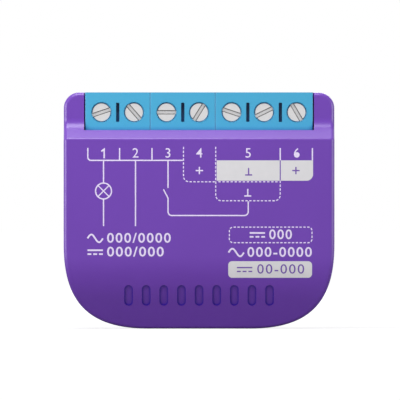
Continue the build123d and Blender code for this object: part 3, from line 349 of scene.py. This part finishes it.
def lay_on_front(name, bm, material, rise=INK_RISE):
    """Joins flat marks into one thin film that lies on the moulded front and rides on the housing."""
    bm.verts.index_update()
    spots = [Vector((vertex.co.x, vertex.co.z)) for vertex in bm.verts]
    shapes = [[vertex.index for vertex in face.verts] for face in bm.faces]
    bm.free()
    # The triangles are those inside the outlines, and a hole among them comes from no shape
    inside_outlines, least_gap = 1, 1e-5
    spots, _, triangles, _, _, sources = geometry.delaunay_2d_cdt(spots, [], shapes, inside_outlines,
                                                                  least_gap)
    bm = bmesh.new()
    corners = [bm.verts.new((spot.x, 0, spot.y)) for spot in spots]
    for triangle, source in zip(triangles, sources):
        if source:
            bm.faces.new([corners[index] for index in triangle])
    bmesh.ops.delete(bm, geom=[vertex for vertex in bm.verts if not vertex.link_faces], context="VERTS")
    low = min(vertex.co.z for vertex in bm.verts)
    cut_z = math.floor(BEND_START_Z)
    while cut_z > low:
        bmesh.ops.bisect_plane(bm, geom=bm.verts[:] + bm.edges[:] + bm.faces[:], plane_co=(0, 0, cut_z),
                               plane_no=(0, 0, 1))
        cut_z -= BEND_STRIP
    bmesh.ops.recalc_face_normals(bm, faces=bm.faces[:])
    turned = [face for face in bm.faces if face.normal.y > 0]
    bmesh.ops.reverse_faces(bm, faces=turned)
    grown = bmesh.ops.extrude_face_region(bm, geom=bm.faces[:], use_keep_orig=True)
    front = {item for item in grown["geom"] if isinstance(item, bmesh.types.BMVert)}
    for vertex in bm.verts:
        height = skin_y(vertex.co.z)
        vertex.co.y = height - rise if vertex in front else height
    bmesh.ops.recalc_face_normals(bm, faces=bm.faces[:])
    keep_piece(name, bm, material, "housing")


def keep_piece(name, bm, material, body):
    """Makes an object of a mesh drawn in millimetres, and lets it ride on a body."""
    bmesh.ops.scale(bm, vec=(MM, MM, MM), verts=bm.verts[:])
    mesh = bpy.data.meshes.new(name)
    bm.to_mesh(mesh)
    bm.free()
    mesh.materials.append(material)
    piece = bpy.data.objects.new(name, mesh)
    bpy.context.scene.collection.objects.link(piece)
    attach(piece, body)
    return piece


def evaluated_mesh(data, tree=None, values=()):
    """The plain mesh of a curve, or what a tree of Geometry Nodes makes of it and its named inputs."""
    holder = bpy.data.objects.new("holder", data)
    bpy.context.scene.collection.objects.link(holder)
    if tree:
        modifier = holder.modifiers.new("grown", "NODES")
        modifier.node_group = tree
        for item in tree.interface.items_tree:
            if item.in_out == "INPUT" and item.name in values:
                modifier[item.identifier] = values[item.name]
    bpy.context.view_layer.update()
    mesh = bpy.data.meshes.new_from_object(holder.evaluated_get(bpy.context.evaluated_depsgraph_get()))
    bpy.data.objects.remove(holder)
    return mesh


def add_numbers(bm, words, x, z, height, thicken=0.0, align="CENTER", spacing=1.0, width=None):
    """Adds plain numbers, set against a place in X and Z, to a mesh, stretched to any width given."""
    curve = bpy.data.curves.new("number", "FONT")
    curve.body = words
    curve.space_character = spacing
    curve.align_x = align
    curve.align_y = "CENTER"
    curve.size = height / DIGIT_SHARE
    curve.offset = thicken
    curve.resolution_u = 3
    flat = evaluated_mesh(curve)
    stretch = width / max(vertex.co.x for vertex in flat.vertices) if width else 1.0
    for vertex in flat.vertices:
        vertex.co = (vertex.co.x * stretch + x, 0, vertex.co.y + z)
    bm.from_mesh(flat)
    bpy.data.curves.remove(curve)
    bpy.data.meshes.remove(flat)


# Heights and places of the print, in millimetres on the front. A terminal's sign stands over its middle.
TRAY_TOP, TRAY_Z, TRAY_LEFT, TRAY_CORNER = 28.2, 26.27, -17.35, 0.5
TRAY_TICKS = (-12.39, -7.34)
BOX_LEFT, BOX_CORNER, LOWER_BOX_LOW = -2.43, 0.9, 19.97
LAMP_X, BAR_X, SWITCH_X, BOX_X, COMMON_X, LAST_X = -14.9, -9.91, -4.84, 0.05, 7.67, 15.23
LINES_END_Z = 16.02
UNDER_TRAY_Z = TRAY_Z - LINE_WIDTH / 2

# The filled field, split by a gap, with a rounded corner at its lower right
FILL_LEFT, FILL_SPLIT, FILL_RIGHT, FILL_LOW = 2.76, 12.66, 17.68, 23.1
SPLIT_GAP, FILL_CORNER = 0.16, 1.0

tray = bmesh.new()
stroke(tray, rounded_path([(TRAY_LEFT, TRAY_TOP), (TRAY_LEFT, TRAY_Z), (BOX_LEFT - LINE_WIDTH / 2, TRAY_Z)],
                          TRAY_CORNER))
for tick_x in TRAY_TICKS:
    stroke(tray, [(tick_x, TRAY_TOP), (tick_x, TRAY_Z)])
for tick_x in (FILL_SPLIT, FILL_RIGHT):
    stroke(tray, [(tick_x, TRAY_TOP), (tick_x, TRAY_Z + INK_RISE)])
lay_on_front("print_terminal_tray", tray, thin_ink)

# A lamp's sign in one line, and a plain line beside it
LAMP_Z, LAMP_RADIUS, CROSS_WIDTH = 21.49, 1.24, LINE_WIDTH * 0.9
lamp = bmesh.new()
stroke(lamp, [(LAMP_X, UNDER_TRAY_Z), (LAMP_X, LAMP_Z + LAMP_RADIUS)])
stroke(lamp, [(LAMP_X, LAMP_Z - LAMP_RADIUS), (LAMP_X, LINES_END_Z)])
ring(lamp, LAMP_X, LAMP_Z, LAMP_RADIUS)
reach = LAMP_RADIUS * math.sqrt(0.5)
for side in (-1, 1):
    stroke(lamp, [(LAMP_X - reach, LAMP_Z - side * reach), (LAMP_X + reach, LAMP_Z + side * reach)],
           CROSS_WIDTH)
stroke(lamp, [(BAR_X, UNDER_TRAY_Z), (BAR_X, LINES_END_Z)])
lay_on_front("print_lamp_circuit", lamp, thin_ink)

# A switch's sign: a short line from above, the open lever, and the line that joins it to the lower box
STUB_END_Z, LEVER_TIP, PIVOT_Z, COMMON_Z, SWITCH_CORNER = 21.96, (-5.55, 21.74), 20.4, 17.67, 0.6
switch = bmesh.new()
stroke(switch, [(SWITCH_X, UNDER_TRAY_Z), (SWITCH_X, STUB_END_Z)])
stroke(switch, rounded_path([LEVER_TIP, (SWITCH_X, PIVOT_Z), (SWITCH_X, COMMON_Z), (COMMON_X, COMMON_Z),
                             (COMMON_X, LOWER_BOX_LOW - LINE_WIDTH / 2)], SWITCH_CORNER))
lay_on_front("print_switch_circuit", switch, thin_ink)

fill = bmesh.new()
patch(fill, [(FILL_LEFT, TRAY_Z), (FILL_LEFT, FILL_LOW), (FILL_SPLIT - SPLIT_GAP / 2, FILL_LOW),
             (FILL_SPLIT - SPLIT_GAP / 2, TRAY_Z)])
right_part = rounded_path([(FILL_SPLIT + SPLIT_GAP / 2, FILL_LOW), (FILL_RIGHT + LINE_WIDTH / 2, FILL_LOW),
                           (FILL_RIGHT + LINE_WIDTH / 2, TRAY_Z)], FILL_CORNER)
patch(fill, right_part + [Vector((FILL_SPLIT + SPLIT_GAP / 2, TRAY_Z))])
lay_on_front("print_supply_fill", fill, white_ink)

# Two rounded fields at the lower right, one dashed and one filled: left, right, low and high edges
DASHED_FIELD, FILLED_FIELD = (4.73, 17.62, 13.43, 15.86), (4.55, 17.62, 7.96, 10.54)
FIELD_CORNER = 0.6
lower_field = bmesh.new()
patch(lower_field, rounded_path(box_corners(*FILLED_FIELD), FIELD_CORNER, closed=True))
lay_on_front("print_lower_field", lower_field, white_ink)


def new_tree(name, inputs, output):
    """A tree of Geometry Nodes with named inputs, and what they give inside it."""
    tree = bpy.data.node_groups.new(name, "GeometryNodeTree")
    for label, kind in inputs:
        tree.interface.new_socket(label, in_out="INPUT", socket_type="NodeSocket" + kind)
    tree.interface.new_socket(output, in_out="OUTPUT", socket_type="NodeSocketGeometry")
    return tree, add_node(tree, "NodeGroupInput").outputs


def end_tree(tree, instances, material):
    """Ends a tree with its instances made real and given their material."""
    real = add_node(tree, "GeometryNodeRealizeInstances", links=[(0, instances)])
    dressed = add_node(tree, "GeometryNodeSetMaterial", links=[(0, real.outputs[0]), ("Material", material)])
    add_node(tree, "NodeGroupOutput", links=[(0, dressed.outputs[0])])


def dash_tree():
    """Geometry Nodes that lay flat dashes end to end along a line, each turned to follow it."""
    tree, given = new_tree(
        "dashes along a line",
        [("Line", "Geometry"), ("Dash pitch", "Float"), ("Dash length", "Float"), ("Dash width", "Float"),
         ("Ink", "Material")], "Dashes")
    spots = add_node(tree, "GeometryNodeCurveToPoints",
                     links=[("Curve", given["Line"]), ("Length", given["Dash pitch"])], mode="LENGTH")
    turned = add_node(tree, "FunctionNodeAxesToRotation", [("Secondary Axis", (0.0, 1.0, 0.0))],
                      [("Primary Axis", spots.outputs["Tangent"])], primary_axis="X", secondary_axis="Z")
    dash = add_node(tree, "GeometryNodeMeshGrid", [("Vertices X", 2), ("Vertices Y", 2)],
                    [("Size X", given["Dash length"]), ("Size Y", given["Dash width"])])
    laid = add_node(tree, "GeometryNodeInstanceOnPoints",
                    links=[("Points", spots.outputs["Points"]), ("Instance", dash.outputs[0]),
                           ("Rotation", turned.outputs[0])])
    end_tree(tree, laid.outputs[0], given["Ink"])
    return tree


def dashed_line(bm, tree, path, pitch, length, width):
    """Adds a dashed line along a path in X and Z to a mesh, by way of the dash tree."""
    curve = bpy.data.curves.new("dashed", "CURVE")
    curve.dimensions = "3D"
    spline = curve.splines.new("POLY")
    spline.points.add(len(path) - 1)
    for point, spot in zip(spline.points, path):
        point.co = (spot[0], 0, spot[1], 1)
    flat = evaluated_mesh(curve, tree, {"Dash pitch": pitch, "Dash length": length, "Dash width": width,
                                        "Ink": thin_ink})
    bm.from_mesh(flat)
    bpy.data.curves.remove(curve)
    bpy.data.meshes.remove(flat)


# The dashed boxes share their low edge, and the lower one starts a little right of the upper one's end
DASH_PITCH, DASH_LENGTH, DASH_WIDTH = 0.6, 0.37, 0.17
DASHED_Z, DASHED_X = 22.93, 2.6
upper_box = rounded_path([(BOX_LEFT, TRAY_TOP), (BOX_LEFT, DASHED_Z), (DASHED_X - DASH_PITCH / 2, DASHED_Z)],
                         BOX_CORNER)
lower_box = rounded_path([(DASHED_X, TRAY_TOP), (DASHED_X, LOWER_BOX_LOW), (FILL_SPLIT, LOWER_BOX_LOW),
                          (FILL_SPLIT, DASHED_Z)], BOX_CORNER)
shared_edge = [(DASHED_X + DASH_PITCH, DASHED_Z), (FILL_SPLIT - DASH_PITCH, DASHED_Z)]
field_edge = rounded_path(box_corners(*DASHED_FIELD), FIELD_CORNER, closed=True)
# The closed line ends one pitch short of its start
last_gap = (field_edge[-1] - field_edge[0]).normalized() * DASH_PITCH
field_edge.append(field_edge[0] + last_gap)
tree_of_dashes = dash_tree()
dashed = bmesh.new()
for route in (upper_box, lower_box, shared_edge, field_edge):
    dashed_line(dashed, tree_of_dashes, route, DASH_PITCH, DASH_LENGTH, DASH_WIDTH)
lay_on_front("print_dashed_boxes", dashed, thin_ink)

# The plain numbers 1 to 6 over the terminals; the 1 is drawn as a flag and a stem, without a foot
LABEL_Z, LABEL_HEIGHT = 27.35, 1.5
ONE_TOP, ONE_LOW = LABEL_Z + LABEL_HEIGHT / 2, LABEL_Z - LABEL_HEIGHT / 2
ONE_FLAG, ONE_WIDTH = (LAMP_X - 0.34, ONE_TOP - 0.42), 0.24
ONE_STEM_X, ONE_STEM_TOP = LAMP_X + 0.1, ONE_TOP - 0.08
numbers = bmesh.new()
stroke(numbers, [ONE_FLAG, (ONE_STEM_X, ONE_STEM_TOP), (ONE_STEM_X, ONE_LOW)], ONE_WIDTH)
for text, label_x in zip("23456", (BAR_X, SWITCH_X, BOX_X, COMMON_X, LAST_X)):
    add_numbers(numbers, text, label_x, LABEL_Z, LABEL_HEIGHT)
lay_on_front("print_terminal_numbers", numbers, thin_ink)

# The poles' signs, and the signs of the two kinds of current. The lower T and one plus are white on the
# shell, the upper T and the last plus violet on the filled field.
PLUS_SIZE, TEE_SIZE, PLUS_Z = 1.15, 1.1, 24.68
LOWER_TEE, UPPER_TEE, LAST_PLUS_X = (7.6, 21.27), (7.73, 24.55), 15.11
SIGN_LENGTH, SIGN_RISE, SIGN_WIDTH, SIGN_WIDTH_ON_WHITE = 2.4, 1.2, 0.26, 0.2


def plus(bm, x, z):
    """Adds a plus sign to a mesh."""
    stroke(bm, [(x - PLUS_SIZE / 2, z), (x + PLUS_SIZE / 2, z)])
    stroke(bm, [(x, z - PLUS_SIZE / 2), (x, z - LINE_WIDTH / 2)])
    stroke(bm, [(x, z + LINE_WIDTH / 2), (x, z + PLUS_SIZE / 2)])


def tee(bm, x, z):
    """Adds an upturned T, the sign of the supply's other pole, to a mesh."""
    stroke(bm, [(x - TEE_SIZE / 2, z - TEE_SIZE / 2), (x + TEE_SIZE / 2, z - TEE_SIZE / 2)])
    stroke(bm, [(x, z - TEE_SIZE / 2 + LINE_WIDTH / 2), (x, z + TEE_SIZE / 2)])


def wave(bm, x, z, width, steps=24):
    """Adds a wave, the sign of alternating current, to a mesh."""
    path = [(x + SIGN_LENGTH * step / steps, z + SIGN_RISE / 2 * math.sin(math.tau * step / steps))
            for step in range(steps + 1)]
    stroke(bm, path, width)


def line_over_dashes(bm, x, z, width, apart=0.3):
    """Adds a line over three dashes, the sign of direct current, to a mesh."""
    stroke(bm, [(x, z + apart), (x + SIGN_LENGTH, z + apart)], width)
    dash = SIGN_LENGTH / 4
    for index in range(3):
        low = x + index * (SIGN_LENGTH - dash) / 2
        stroke(bm, [(low, z - apart), (low + dash, z - apart)], width)


signs = bmesh.new()
plus(signs, BOX_X, PLUS_Z)
tee(signs, *LOWER_TEE)
lay_on_front("print_pole_signs", signs, thin_ink)


def add_row(bm, row, sign_width, thicken):
    """Adds a row of plain noughts after its sign to a mesh."""
    sign, sign_x, noughts, noughts_x, noughts_width, row_z = row
    sign(bm, sign_x, row_z, sign_width)
    add_numbers(bm, noughts, noughts_x, row_z, ROW_HEIGHT, thicken, "LEFT", ROW_SPACING, noughts_width)


# Each row has a sign of alternating or direct current, the sign's left, the noughts, their left and width,
# and the height of its middle. The field row lies on the lower filled field.
ROW_HEIGHT, ROW_SPACING, ROW_THICKEN = 1.5, 1.16, 0.03
ROWS = ((wave, -17.4, "000/0000", -14.4, 10.0, 14.1),
        (line_over_dashes, -17.4, "000/000", -14.4, 8.9, 11.95),
        (line_over_dashes, 7.9, "000", 10.9, 3.6, 14.65),
        (wave, 4.6, "000-0000", 7.5, 10.1, 11.9))
FIELD_ROW = (line_over_dashes, 5.9, "00-000", 9.0, 7.4, 9.25)
rows = bmesh.new()
for row in ROWS:
    add_row(rows, row, SIGN_WIDTH, ROW_THICKEN)
lay_on_front("print_rows", rows, thin_ink)

marks = bmesh.new()
plus(marks, LAST_PLUS_X, PLUS_Z)
tee(marks, *UPPER_TEE)
add_row(marks, FIELD_ROW, SIGN_WIDTH_ON_WHITE, thicken=0.0)
lay_on_front("print_marks_on_white", marks, violet_ink, MARK_RISE)


def collar_tree():
    """Geometry Nodes that set one moulded collar round each place of an even row."""
    tree, given = new_tree(
        "collars round a row of screws",
        [("Collar count", "Int"), ("Collar pitch", "Float"), ("Collar radius", "Float"),
         ("Collar wall", "Float"), ("Collar depth", "Float"), ("First collar", "Vector"),
         ("Plastic", "Material")], "Collars")
    step = add_node(tree, "ShaderNodeCombineXYZ", links=[("X", given["Collar pitch"])])
    places = add_node(tree, "GeometryNodeMeshLine", links=[
        ("Count", given["Collar count"]), ("Start Location", given["First collar"]),
        ("Offset", step.outputs[0])])
    circle = add_node(tree, "GeometryNodeCurvePrimitiveCircle", [("Resolution", 48)],
                      [("Radius", given["Collar radius"])])
    profile = add_node(tree, "GeometryNodeCurvePrimitiveQuadrilateral",
                       links=[("Width", given["Collar wall"]), ("Height", given["Collar depth"])])
    collar = add_node(tree, "GeometryNodeCurveToMesh", [("Fill Caps", False)],
                      [("Curve", circle.outputs[0]), ("Profile Curve", profile.outputs[0])])
    stood = add_node(tree, "GeometryNodeTransform", [("Rotation", (math.radians(90), 0.0, 0.0))],
                     [("Geometry", collar.outputs[0])])
    laid = add_node(tree, "GeometryNodeInstanceOnPoints",
                    links=[("Points", places.outputs[0]), ("Instance", stood.outputs[0])])
    end_tree(tree, laid.outputs[0], given["Plastic"])
    return tree


# A thin moulded collar guides each screw head: it leaves a hair's gap round the head, ends just under the
# face, and reaches a little way into the wall of the hole, which is wider than the head by a gap all round
SCREW_COUNT = 7
COLLAR_GAP, COLLAR_DEPTH, COLLAR_IN_WALL, HOLE_GAP = 0.02, 0.7, 0.01, 0.12
COLLAR_BELOW_FACE = 0.04
first_low, first_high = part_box("terminal_screw_1")
last_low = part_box(f"terminal_screw_{SCREW_COUNT}")[0]
head_radius = (first_high[0] - first_low[0]) / MM / 2
collar_inner = head_radius + COLLAR_GAP
collar_outer = head_radius + HOLE_GAP + COLLAR_IN_WALL
collar_mesh = evaluated_mesh(bpy.data.meshes.new("row"), collar_tree(), {
    "Collar count": SCREW_COUNT,
    "Collar pitch": (last_low[0] - first_low[0]) / MM / (SCREW_COUNT - 1),
    "Collar radius": (collar_inner + collar_outer) / 2,
    "Collar wall": collar_outer - collar_inner,
    "Collar depth": COLLAR_DEPTH,
    "First collar": ((first_low[0] + first_high[0]) / MM / 2,
                     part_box("terminal_housing_left")[0][1] / MM + COLLAR_BELOW_FACE + COLLAR_DEPTH / 2,
                     (first_low[2] + first_high[2]) / MM / 2),
    "Plastic": finishes["terminal_plastic"]})
collars = bmesh.new()
collars.from_mesh(collar_mesh)
bpy.data.meshes.remove(collar_mesh)
bmesh.ops.recalc_face_normals(collars, faces=collars.faces[:])
collar_piece = keep_piece("terminal_screw_collars", collars, finishes["terminal_plastic"], "housing")

# The studio is drawn in metres. Its paper floor lies a hair below the foot, because two faces in one plane
# would flicker
SHEET_HALF, SHEET_Z = 6.0, -0.02 * MM
floor_mesh = bpy.data.meshes.new("floor")
floor_mesh.from_pydata([(-SHEET_HALF, -SHEET_HALF, SHEET_Z), (SHEET_HALF, -SHEET_HALF, SHEET_Z),
                        (SHEET_HALF, SHEET_HALF, SHEET_Z), (-SHEET_HALF, SHEET_HALF, SHEET_Z)], [],
                       [(0, 1, 2, 3)])
floor = bpy.data.objects.new("floor", floor_mesh)
bpy.context.scene.collection.objects.link(floor)
floor_material, floor_tree, floor_place = new_material("pale studio paper")
floor_shader = add_node(floor_tree, "ShaderNodeBsdfDiffuse", [("Color", linear("#848484"))])
# The paper is lit to plain white away from the object, and keeps the object's shadow near it
away = add_node(floor_tree, "ShaderNodeVectorMath", links=[(0, floor_place)], operation="LENGTH")
evened = add_node(floor_tree, "ShaderNodeMapRange",
                  [("From Min", 0.04), ("From Max", 0.2), ("To Min", 0.8), ("To Max", 1.0)],
                  [("Value", away.outputs["Value"])])
# In a reflection, the paper's glow is painted dimmer close by, a painted shade for the object standing over
# it
painted_near_shade = add_node(floor_tree, "ShaderNodeMapRange",
                  [("From Min", 0.02), ("From Max", 0.3), ("To Min", 0.1), ("To Max", 1.0)],
                  [("Value", away.outputs["Value"])])

seen_by = add_node(floor_tree, "ShaderNodeLightPath").outputs
seen = combined(floor_tree, seen_by["Is Camera Ray"], seen_by["Is Transmission Ray"], "MAXIMUM")
seen = combined(floor_tree, seen, evened.outputs[0], "MULTIPLY")
mirrored = combined(floor_tree, seen_by["Is Glossy Ray"], painted_near_shade.outputs[0], "MULTIPLY")
glow = add_node(floor_tree, "ShaderNodeEmission", [("Color", WHITE)],
                [("Strength", combined(floor_tree, seen, mirrored, "MAXIMUM"))])
both = add_node(floor_tree, "ShaderNodeAddShader", links=[(0, floor_shader.outputs[0]), (1, glow.outputs[0])])
# From below, the paper is clear, so that the foot of the object can be looked at
below = add_node(floor_tree, "ShaderNodeNewGeometry").outputs["Backfacing"]
clear = add_node(floor_tree, "ShaderNodeBsdfTransparent")
sheet = add_node(floor_tree, "ShaderNodeMixShader",
                 links=[(0, below), (1, both.outputs[0]), (2, clear.outputs[0])])
add_node(floor_tree, "ShaderNodeOutputMaterial", links=[("Surface", sheet.outputs[0])])
floor_mesh.materials.append(floor_material)

# The room shows plain white, to the camera and in reflections, and lights the object only faintly
world = bpy.data.worlds.new("studio")
bpy.context.scene.world = world
world.use_nodes = True
world_tree = world.node_tree
world_tree.nodes.clear()
paths = add_node(world_tree, "ShaderNodeLightPath").outputs
shown = combined(world_tree, paths["Is Camera Ray"], paths["Is Glossy Ray"], "MAXIMUM")
shown = combined(world_tree, shown, paths["Is Transmission Ray"], "MAXIMUM")
room_level = add_node(world_tree, "ShaderNodeMapRange", [("To Min", 0.06), ("To Max", 1.0)],
                      [("Value", shown)])
sky = add_node(world_tree, "ShaderNodeBackground", [("Color", WHITE)], [("Strength", room_level.outputs[0])])
add_node(world_tree, "ShaderNodeOutputWorld", links=[("Surface", sky.outputs[0])])

# Rectangular studio lamps: place, aim, width, height and power in watts
SOFT_BOXES = {
    "key": ((-0.04, -0.085, 0.18), (0, -0.008, 0.026), 0.13, 0.09, 0.305),
    "overhead": ((0, 0.006, 0.2), (0, 0, 0.03), 0.13, 0.08, 0.075),
    "left_strip": ((-0.23, -0.13, 0.06), (0, 0, 0.02), 0.21, 0.1, 0.48),
    "right_strip": ((0.23, -0.13, 0.06), (0, 0, 0.02), 0.19, 0.1, 0.31),
    "back_fill": ((0.2, 0.7, 0.5), (0, 0, 0.02), 0.5, 0.5, 3.8),
}
for name, (place, aim, width, height, power) in SOFT_BOXES.items():
    lamp_data = bpy.data.lights.new(name, "AREA")
    lamp_data.shape = "RECTANGLE"
    lamp_data.size, lamp_data.size_y = width, height
    lamp_data.energy = power
    lamp_object = bpy.data.objects.new(name, lamp_data)
    lamp_object.location = place
    lamp_object.rotation_euler = (Vector(aim) - Vector(place)).to_track_quat("-Z", "Y").to_euler()
    lamp_object.visible_camera = False
    bpy.context.scene.collection.objects.link(lamp_object)

# A long lens far off, as in a catalogue picture, level with the middle of the picture
DISTANCE, VIEW_WIDTH = 2.0, 0.06239
CAMERA_X, CAMERA_Z = 0.000148, 0.02009
camera_data = bpy.data.cameras.new("camera")
camera_data.sensor_width = 36.0
camera_data.lens = camera_data.sensor_width * DISTANCE / VIEW_WIDTH
camera_data.clip_end = 20.0
camera = bpy.data.objects.new("camera", camera_data)
camera.location = (CAMERA_X, cad_low[1] - DISTANCE, CAMERA_Z)
camera.rotation_euler = (math.radians(90), 0, 0)
bpy.context.scene.collection.objects.link(camera)
bpy.context.scene.camera = camera
bpy.context.scene.view_settings.view_transform = "Standard"
